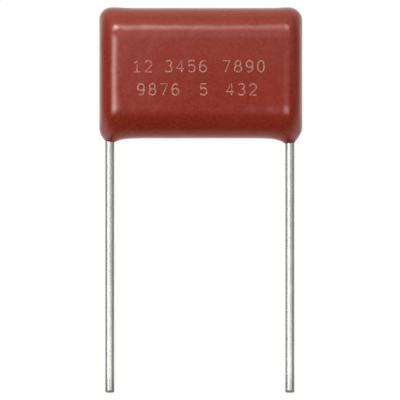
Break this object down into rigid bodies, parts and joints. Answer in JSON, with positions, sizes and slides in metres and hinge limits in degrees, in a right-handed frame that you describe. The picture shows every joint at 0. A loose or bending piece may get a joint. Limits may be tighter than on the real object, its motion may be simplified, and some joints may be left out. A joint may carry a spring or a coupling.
{
  "type": "dipped film capacitor",
  "caption": "Dipped film capacitor with radial wire leads: a flattened winding with sprayed zinc ends inside glossy red-brown epoxy, for through-hole boards.",
  "frame": {"origin": "midway between the two leads on the seating plane, which the longer neck of the coating touches", "axes": "+Z away from the board, -Z along the leads, +X from the left lead to the right lead, Y through the thickness"},
  "size_m": [0.0198, 0.0066, 0.0375],
  "materials": {
    "epoxy_coating": "red-brown epoxy powder coating, dipped and cured to a gloss with slight unevenness",
    "blank_film": "clear plastic film, plain",
    "metallised_film": "plastic film with a vapour-deposited metal layer",
    "sprayed_zinc": "dull grey, grainy sprayed zinc",
    "tinned_wire": "bright tinned wire with faint drawing lines",
    "marking_ink": "thin pale ink of the printed marking, matt and slightly ragged"
  },
  "bodies": {
    "root": {"coating": "epoxy_coating", "wrap_film": "blank_film", "winding": "metallised_film", "end_spray_left": "sprayed_zinc", "end_spray_right": "sprayed_zinc", "lead_left": "tinned_wire", "lead_right": "tinned_wire"}
  },
  "joints": []
}
